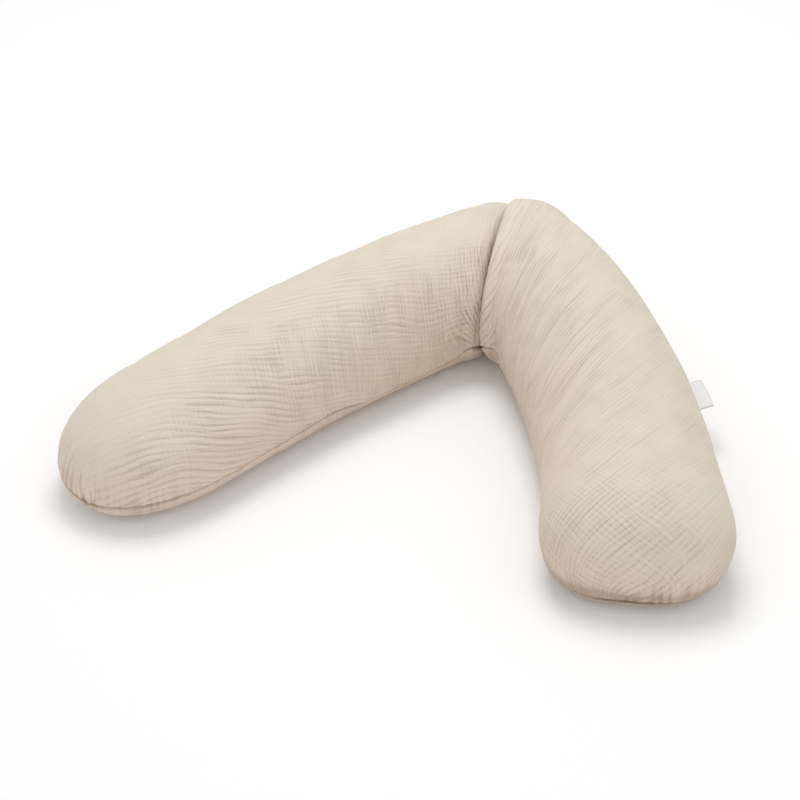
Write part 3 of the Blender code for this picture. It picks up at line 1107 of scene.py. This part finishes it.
def add_spread(tree, value, low, high, least=0.0):
    """Spreads a value between low and high over the range from least to 1."""
    node = tree.nodes.new("ShaderNodeMapRange")
    for label, number in (("From Min", low), ("From Max", high), ("To Min", least)):
        node.inputs[label].default_value = number
    tree.links.new(value, node.inputs["Value"])
    return node.outputs["Result"]


def add_axes(tree, vector):
    """The first two numbers of a vector."""
    split = tree.nodes.new("ShaderNodeSeparateXYZ")
    tree.links.new(vector, split.inputs[0])
    return split.outputs[0], split.outputs[1]


def add_place(tree, along, along_size, across, across_size):
    """A place whose first two numbers are each divided by a size."""
    join = tree.nodes.new("ShaderNodeCombineXYZ")
    tree.links.new(add_math(tree, "DIVIDE", along, along_size), join.inputs[0])
    tree.links.new(add_math(tree, "DIVIDE", across, across_size), join.inputs[1])
    return join.outputs[0]


print("helpers ready")

# %% [markdown]
# ## Crinkle, weave and drift
#
# The crinkle is a row of round ridges whose phase is pushed about by noise, once along the threads and
# once across them. The weave is two sets of round threads, of which the higher one shows. The drift is
# slow noise on the whole pillow. A Wave Texture would make ridges too, but it has no sharp valleys.

# %% The fine crinkle of gauze
CRINKLE_WOBBLE = 2.2


def add_ridges(tree, along, across, pitch, length):
    """Round ridges of uneven pitch with sharp valleys between: the height, and the depth of the valleys for
    painted shade, both from 0 to 1.
    """
    place = add_place(tree, along, length, across, add_math(tree, "MULTIPLY", pitch, 3.0))
    wobble = add_noise(tree, place, scale=1.0, detail=0.0)
    phase = add_math(tree, "DIVIDE", across, pitch)
    phase = add_math(tree, "ADD", phase, add_math(tree, "MULTIPLY", wobble, CRINKLE_WOBBLE))
    ridge = add_threads(tree, phase)
    strength = add_spread(tree, add_noise(tree, place, scale=0.6, detail=1.0), 0.35, 0.65, least=0.2)
    painted_shade = add_math(tree, "POWER", add_math(tree, "SUBTRACT", 1.0, ridge), 2.0)
    return add_math(tree, "MULTIPLY", ridge, strength), add_math(tree, "MULTIPLY", painted_shade, strength)


def make_crinkle_group():
    """Fine puckers both ways, in metres of the flat cloth. Each way has its own strength."""
    group, given, made = new_group(
        "gauze_crinkle",
        [("Place", "NodeSocketVector", None), ("Pitch", "NodeSocketFloat", 0.0055),
         ("Cross Pitch", "NodeSocketFloat", 0.0050), ("Length", "NodeSocketFloat", 0.05),
         ("Strength", "NodeSocketFloat", 1.0), ("Cross Strength", "NodeSocketFloat", 1.0)],
        [("Height", "NodeSocketFloat"), ("Valley", "NodeSocketFloat")],
    )
    along, across = add_axes(group, given.outputs["Place"])
    first = add_ridges(group, along, across, given.outputs["Pitch"], given.outputs["Length"])
    second = add_ridges(group, across, along, given.outputs["Cross Pitch"], given.outputs["Length"])
    for name, one, two in zip(("Height", "Valley"), first, second):
        one = add_math(group, "MULTIPLY", one, given.outputs["Strength"])
        two = add_math(group, "MULTIPLY", two, given.outputs["Cross Strength"])
        group.links.new(add_math(group, "ADD", one, two), made.inputs[name])
    return group


def make_weave_group():
    """Open weave of round threads, one over the other, with slightly uneven yarn."""
    group, given, made = new_group(
        "plain_weave",
        [("Place", "NodeSocketVector", None), ("Thread Pitch", "NodeSocketFloat", 0.0009)],
        [("Height", "NodeSocketFloat"), ("Gap", "NodeSocketFloat")],
    )
    along, across = add_axes(group, given.outputs["Place"])
    pitch = given.outputs["Thread Pitch"]
    scaled = add_place(group, along, pitch, across, pitch)
    warp, weft = [add_threads(group, axis) for axis in add_axes(group, scaled)]
    threads_high = add_math(group, "MAXIMUM", warp, weft)
    uneven = add_noise(group, scaled, scale=0.35, detail=2.0)
    group.links.new(add_math(group, "MULTIPLY", threads_high, uneven), made.inputs["Height"])
    group.links.new(add_math(group, "SUBTRACT", 1.0, threads_high), made.inputs["Gap"])
    return group


def make_drift_group():
    """Slow drift between two tones, for undyed cloth."""
    group, given, made = new_group(
        "tone_drift",
        [("Place", "NodeSocketVector", None), ("Size", "NodeSocketFloat", 0.2)],
        [("Mask", "NodeSocketFloat")],
    )
    along, across = add_axes(group, given.outputs["Place"])
    size = given.outputs["Size"]
    drift = add_noise(group, add_place(group, along, size, across, size), scale=1.0, detail=2.0)
    group.links.new(add_spread(group, drift, 0.3, 0.7), made.inputs["Mask"])
    return group


crinkle_group = make_crinkle_group()
weave_group = make_weave_group()
drift_group = make_drift_group()
print("groups:", [group.name for group in (crinkle_group, weave_group, drift_group)])

# %% [markdown]
# ## The muslin's material
#
# The cloth is matt and a little fuzzy: high roughness and a soft sheen that lights the edges. The
# colour drifts slowly between a yellower and a pinker beige, and the pinker beige is also painted
# warm shade low down, on the inner sides and by the crease. Painted shade darkens the valleys, gently
# in the wide ones and strongly only in the very deepest, and the gaps of the weave. Two bumps, the
# crinkle and the weave, share one normal.
# A painted picture of the cloth would show the same, but it would blur in a close view.

# %% Build the muslin
# CREAM is the cloth's own beige, ROSE_FOR_SHADE_AND_DRIFT the pinker beige of painted warm shade and of the
# slow drift, and SHADE the brown of painted shade.
CREAM = (0.700, 0.640, 0.542, 1.0)
ROSE_FOR_SHADE_AND_DRIFT = (0.685, 0.563, 0.470, 1.0)
SHADE = (0.320, 0.248, 0.185, 1.0)
WARM_SHADE_SHARE = 0.90
DRIFT_SHARE = 0.22
VALLEY_SHADE = 0.28
CREVICE_SHADE = 0.60
CREVICE_POWER = 9.0
CRINKLE_SHADE = 0.17
GAP_SHADE = 0.10
CRINKLE_BUMP = 0.00095
WEAVE_BUMP = 0.00012


def new_material(name, values):
    """A material whose Principled shader has some inputs set, as (material, its tree, the shader)."""
    material = bpy.data.materials.new(name)
    material.use_nodes = True
    shader = material.node_tree.nodes["Principled BSDF"]
    for label, value in values.items():
        shader.inputs[label].default_value = value
    return material, material.node_tree, shader


def add_group(tree, group, values):
    """A group node with its values set."""
    node = tree.nodes.new("ShaderNodeGroup")
    node.node_tree = group
    for label, value in values.items():
        node.inputs[label].default_value = value
    return node


def add_attribute(tree, name):
    """The value of a point attribute."""
    node = tree.nodes.new("ShaderNodeAttribute")
    node.attribute_name = name
    return node.outputs["Fac"]


def add_mix(tree, factor, first, second):
    """A colour mix. factor is a socket, the colours are sockets or values."""
    node = tree.nodes.new("ShaderNodeMix")
    node.data_type = "RGBA"
    tree.links.new(factor, node.inputs[0])
    for slot, value in ((node.inputs[6], first), (node.inputs[7], second)):
        if isinstance(value, bpy.types.NodeSocket):
            tree.links.new(value, slot)
        else:
            slot.default_value = value
    return node.outputs[2]


def add_sum(tree, parts):
    """The sum of several sockets, each times its share."""
    total = None
    for value, share in parts:
        part = add_math(tree, "MULTIPLY", value, share)
        total = part if total is None else add_math(tree, "ADD", total, part)
    return total


def add_bump(tree, height, distance, normal=None):
    """A Bump node. distance is the height in metres of a value of 1."""
    node = tree.nodes.new("ShaderNodeBump")
    node.inputs["Strength"].default_value = 1.0
    node.inputs["Distance"].default_value = distance
    tree.links.new(height, node.inputs["Height"])
    if normal is not None:
        tree.links.new(normal, node.inputs["Normal"])
    return node.outputs["Normal"]


def make_muslin():
    """Crinkled double gauze in undyed beige."""
    material, tree, shader = new_material("muslin", {
        "Roughness": 0.92, "Specular IOR Level": 0.2, "Sheen Weight": 0.15,
        "Sheen Roughness": 0.5, "Sheen Tint": (1.0, 0.97, 0.92, 1.0),
    })
    place = tree.nodes.new("ShaderNodeUVMap")
    place.uv_map = "cloth_place"
    coords = tree.nodes.new("ShaderNodeTexCoord")
    painted_shade, warm_shade, thread_share, cross_share = [
        add_attribute(tree, name) for name in ("painted_shade", "warm_shade", "thread_share", "cross_share")
    ]
    crinkle = add_group(tree, crinkle_group, {"Pitch": 0.0060, "Cross Pitch": 0.0064, "Length": 0.06})
    weave = add_group(tree, weave_group, {"Thread Pitch": 0.0009})
    drift = add_group(tree, drift_group, {"Size": 0.16})
    for effect in (crinkle, weave):
        tree.links.new(place.outputs["UV"], effect.inputs["Place"])
    tree.links.new(thread_share, crinkle.inputs["Strength"])
    tree.links.new(cross_share, crinkle.inputs["Cross Strength"])
    tree.links.new(coords.outputs["Object"], drift.inputs["Place"])
    # The pinker beige: painted warm shade, plus a slow random drift of tone.
    warm_shade_and_drift = add_sum(tree, [(warm_shade, WARM_SHADE_SHARE), (drift.outputs["Mask"], DRIFT_SHARE)])
    # Painted shade: gently in wide valleys, strongly in the deepest crevices and seams, and in the crinkle's
    # valleys.
    deep = add_sum(tree, [
        (add_math(tree, "POWER", painted_shade, 2.0), VALLEY_SHADE),
        (add_math(tree, "POWER", painted_shade, CREVICE_POWER), CREVICE_SHADE),
        (crinkle.outputs["Valley"], CRINKLE_SHADE),
    ])
    # Painted shade in the gaps between the threads of the weave.
    gaps = add_math(tree, "MULTIPLY", weave.outputs["Gap"], GAP_SHADE)
    tone = add_mix(tree, warm_shade_and_drift, CREAM, ROSE_FOR_SHADE_AND_DRIFT)
    tone = add_mix(tree, deep, tone, SHADE)
    tone = add_mix(tree, gaps, tone, SHADE)
    tree.links.new(tone, shader.inputs["Base Color"])
    normal = add_bump(tree, crinkle.outputs["Height"], CRINKLE_BUMP)
    normal = add_bump(tree, weave.outputs["Height"], WEAVE_BUMP, normal)
    tree.links.new(normal, shader.inputs["Normal"])
    return material


muslin = make_muslin()
cover.data.materials.clear()
cover.data.materials.append(muslin)
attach(cover, "root")
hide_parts(COVER_NODE)
print("muslin on", cover.name)

# %% [markdown]
# ## The label
#
# A short tape is folded in half and caught in the outer seam of the right arm, so both of its ends lie
# between the panels and its fold stands out. It starts as a flat grid of its real size, is bent
# over a line that runs out and back, and a Solidify modifier gives it the thickness of woven tape.
# It could be simulated too, but a tape this short and stiff keeps the fold it was given. The arm is
# bent, so its outer seam is longer than the middle line. SEAM_SPREAD says how much.

# %% Fold the tape into the seam
LABEL_ALONG = 0.495
LABEL_WIDTH = 0.068
SEAM_SPREAD = 1.175
LABEL_REACH = 0.034
LABEL_LIFT = 12.0
LABEL_GAP = 0.0012
LABEL_THICKNESS = 0.0007
LABEL_FLAT_LENGTH = 0.076
LABEL_SAG = 0.0016
SAG_TURN = 5.0
SAG_START = 0.6
LABEL_COLUMNS = 24
LABEL_ROWS = 44


def tape_path(distance):
    """Out from the seam and up for a distance along the tape: out, round the fold, and back."""
    radius = LABEL_GAP / 2.0
    turn = math.pi * radius
    straight = (LABEL_FLAT_LENGTH - turn) / 2.0
    root = LABEL_REACH - radius - straight
    if distance < straight:
        return root + distance, -radius
    if distance > straight + turn:
        return root + 2.0 * straight + turn - distance, radius
    angle = (distance - straight) / radius
    return root + straight + radius * math.sin(angle), -radius * math.cos(angle)


def make_label():
    """The folded tape, as one closed mesh."""
    mesh = bmesh.new()
    bmesh.ops.create_grid(mesh, x_segments=LABEL_COLUMNS, y_segments=LABEL_ROWS, size=0.5)
    tape = mesh.loops.layers.uv.new("tape_place")
    for face in mesh.faces:
        for loop in face.loops:
            loop[tape].uv = (loop.vert.co.x * LABEL_WIDTH, loop.vert.co.y * LABEL_FLAT_LENGTH)
    lift = math.radians(LABEL_LIFT)
    for vertex in mesh.verts:
        across, distance = vertex.co.x, (vertex.co.y + 0.5) * LABEL_FLAT_LENGTH
        station = LABEL_ALONG * RIGHT["length"] + LABEL_WIDTH / SEAM_SPREAD * across
        root = surface_point(RIGHT, station, 90.0, ("outer", OUTER_SEAM)) + Vector(shift)
        outwards = middle_line(RIGHT, station)[1]
        outwards = outwards * math.cos(lift) + Vector((0.0, 0.0, math.sin(lift)))
        upwards = outwards.cross(Vector((0.0, 0.0, 1.0))).cross(outwards).normalized()
        out, up = tape_path(distance)
        sag = LABEL_SAG * max(0.0, out / LABEL_REACH) ** 2 * math.sin(SAG_TURN * across + SAG_START)
        vertex.co = root + outwards * out + upwards * (up + sag)
    label = add_piece(mesh, "seam_tape")
    wall = label.modifiers.new("wall", "SOLIDIFY")
    wall.thickness = LABEL_THICKNESS
    wall.offset = 0.0
    return label


label = make_label()
print("label:", len(label.data.polygons), "faces before its thickness")

# %% [markdown]
# ## The label's material
#
# A woven label is satin: smoother and a little shinier than the muslin, with fine ribs across the tape
# and a firm edge. It is left bare. The weave is the cover's own group with a finer thread, and the
# ribs are a plain sine of the distance along the tape.

# %% Build the tape
TAPE_WHITE = (0.80, 0.80, 0.79, 1.0)
TAPE_GREY = (0.66, 0.66, 0.655, 1.0)
RIB_PITCH = 0.0016
EDGE_WIDTH = 0.0018
EDGE_SHARE = 0.6
TAPE_GAP_SHARE = 0.5
RIB_BUMP = 0.00008
TAPE_WEAVE_BUMP = 0.00006


def make_tape():
    """Bare satin tape with fine ribs, a slightly darker woven edge and painted shade in the gaps of its
    weave.
    """
    material, tree, shader = new_material("label_satin", {"Roughness": 0.5, "Sheen Weight": 0.1})
    place = tree.nodes.new("ShaderNodeUVMap")
    place.uv_map = "tape_place"
    weave = add_group(tree, weave_group, {"Thread Pitch": 0.0005})
    tree.links.new(place.outputs["UV"], weave.inputs["Place"])
    across, along = add_axes(tree, place.outputs["UV"])
    ribs = add_math(tree, "SINE", add_math(tree, "MULTIPLY", along, math.tau / RIB_PITCH))
    edge = add_math(tree, "GREATER_THAN", add_math(tree, "ABSOLUTE", across), LABEL_WIDTH / 2.0 - EDGE_WIDTH)
    edge = add_math(tree, "MULTIPLY", edge, EDGE_SHARE)
    # Painted shade in the gaps between the threads, in the same grey as the woven edge.
    gaps = add_math(tree, "MULTIPLY", weave.outputs["Gap"], TAPE_GAP_SHARE)
    mark = add_math(tree, "MAXIMUM", edge, gaps)
    tree.links.new(add_mix(tree, mark, TAPE_WHITE, TAPE_GREY), shader.inputs["Base Color"])
    normal = add_bump(tree, ribs, RIB_BUMP)
    normal = add_bump(tree, weave.outputs["Height"], TAPE_WEAVE_BUMP, normal)
    tree.links.new(normal, shader.inputs["Normal"])
    return material


label.data.materials.append(make_tape())
label.data.shade_smooth()
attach(label, "root")
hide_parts(LABEL_NODE)
print("label tape on", label.name)

# %% [markdown]
# ## Floor
#
# The floor is plain pale paper, far wider than the view, so that it has no edge or horizon.

# %% Floor
FLOOR_HALF = 6.0
PAPER_WHITE = (0.93, 0.93, 0.93, 1.0)


def add_floor():
    """A large square of pale paper under the pillow."""
    mesh = bmesh.new()
    bmesh.ops.create_grid(mesh, x_segments=1, y_segments=1, size=FLOOR_HALF)
    floor = add_piece(mesh, "floor")
    paper, _, _ = new_material("floor_paper", {"Base Color": PAPER_WHITE, "Roughness": 0.9})
    floor.data.materials.append(paper)


add_floor()
print("floor:", 2.0 * FLOOR_HALF, "metres wide")

# %% [markdown]
# ## Light
#
# One wide softbox above and behind the pillow makes the tops bright and shades the puckers that face
# the camera. A weak one in front keeps the lower sides even, and a bright white room fills the rest.
# A single small lamp would show the puckers more, but its shadows would be hard.

# %% Light
LIGHT_AIM = Vector((0.0, 0.0, 0.1))
ROOM_STRENGTH = 0.74


def add_softbox(name, place, width, depth, watts):
    """A rectangular softbox that looks at the pillow."""
    lamp = bpy.data.lights.new(name, "AREA")
    lamp.shape = "RECTANGLE"
    lamp.size = width
    lamp.size_y = depth
    lamp.energy = watts
    box = bpy.data.objects.new(name, lamp)
    box.location = place
    box.rotation_euler = (LIGHT_AIM - Vector(place)).to_track_quat("-Z", "Y").to_euler()
    bpy.context.scene.collection.objects.link(box)


def add_room():
    """A white room that lights everything evenly."""
    world = bpy.data.worlds.new("studio")
    bpy.context.scene.world = world
    world.use_nodes = True
    background = world.node_tree.nodes["Background"]
    background.inputs["Color"].default_value = (1.0, 1.0, 1.0, 1.0)
    background.inputs["Strength"].default_value = ROOM_STRENGTH


add_softbox("top_softbox", place=(-0.4, 0.8, 3.0), width=1.5, depth=1.2, watts=39.0)
add_softbox("front_fill", place=(1.0, -2.6, 1.0), width=2.0, depth=1.0, watts=9.0)
add_room()
print("lights:", [lamp.name for lamp in bpy.data.lights], "room:", ROOM_STRENGTH)

# %% [markdown]
# ## Camera
#
# The camera stands in front and a little to the right, and looks down at about 41 degrees. It is told
# by two angles, a distance and a target on the pillow, which is easier to adjust than a place and a
# turn. A long lens from far away keeps the two arms in proportion.

# %% Camera
SENSOR_WIDTH = 36.0
CAMERA_AZIMUTH = 20.6
CAMERA_ELEVATION = 40.7
CAMERA_DISTANCE = 3.6
CAMERA_LENS = 94.35
CAMERA_TARGET = Vector((-0.0756, -0.0389, 0.0480))


def add_camera():
    """The camera, turned to the target from its azimuth and elevation."""
    azimuth, elevation = math.radians(CAMERA_AZIMUTH), math.radians(CAMERA_ELEVATION)
    level = math.cos(elevation)
    back = Vector((math.sin(azimuth) * level, -math.cos(azimuth) * level, math.sin(elevation)))
    data = bpy.data.cameras.new("camera")
    data.lens = CAMERA_LENS
    data.sensor_width = SENSOR_WIDTH
    camera = bpy.data.objects.new("camera", data)
    camera.location = CAMERA_TARGET + back * CAMERA_DISTANCE
    camera.rotation_euler = (-back).to_track_quat("-Z", "Y").to_euler()
    bpy.context.scene.collection.objects.link(camera)
    bpy.context.scene.camera = camera


add_camera()
bpy.context.scene.view_settings.view_transform = "Standard"
print("camera:", CAMERA_AZIMUTH, "degrees round,", CAMERA_ELEVATION, "degrees up,", CAMERA_LENS, "mm")
